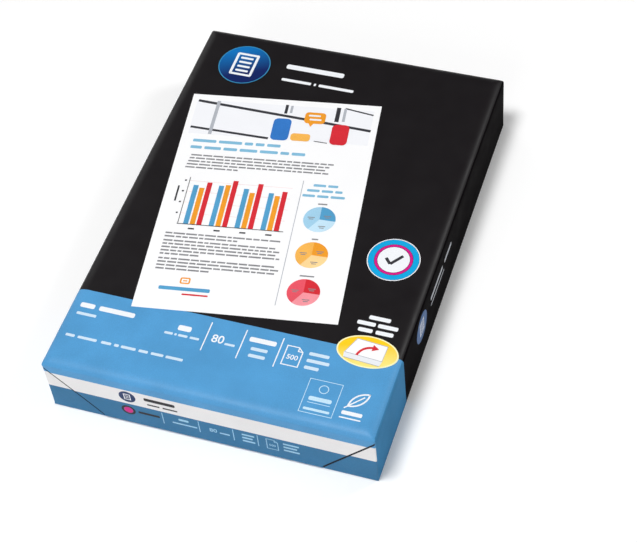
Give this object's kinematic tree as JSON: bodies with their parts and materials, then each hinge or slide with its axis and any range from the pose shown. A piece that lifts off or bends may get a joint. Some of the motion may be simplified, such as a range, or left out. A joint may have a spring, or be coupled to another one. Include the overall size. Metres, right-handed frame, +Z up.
{
  "type": "ream of office paper",
  "caption": "Sealed ream of office paper in a printed wrapper, folded and glued flat over both short ends, lying on its base.",
  "frame": {"origin": "middle of the base, at the level it rests on", "axes": "+Z up, +Y along the long sides from the near short end to the far one, +X across"},
  "size_m": [0.211, 0.2986, 0.046],
  "materials": {
    "wrapper_black": "satin black print on coated wrapping paper",
    "wrapper_blue": "satin light blue print on coated wrapping paper",
    "wrapper_white": "unprinted white of the coated wrapping paper",
    "wrapper_print": "small printed shapes in several colours, satin"
  },
  "bodies": {
    "root": {"wrapped_ream": "wrapper_black"}
  },
  "joints": []
}
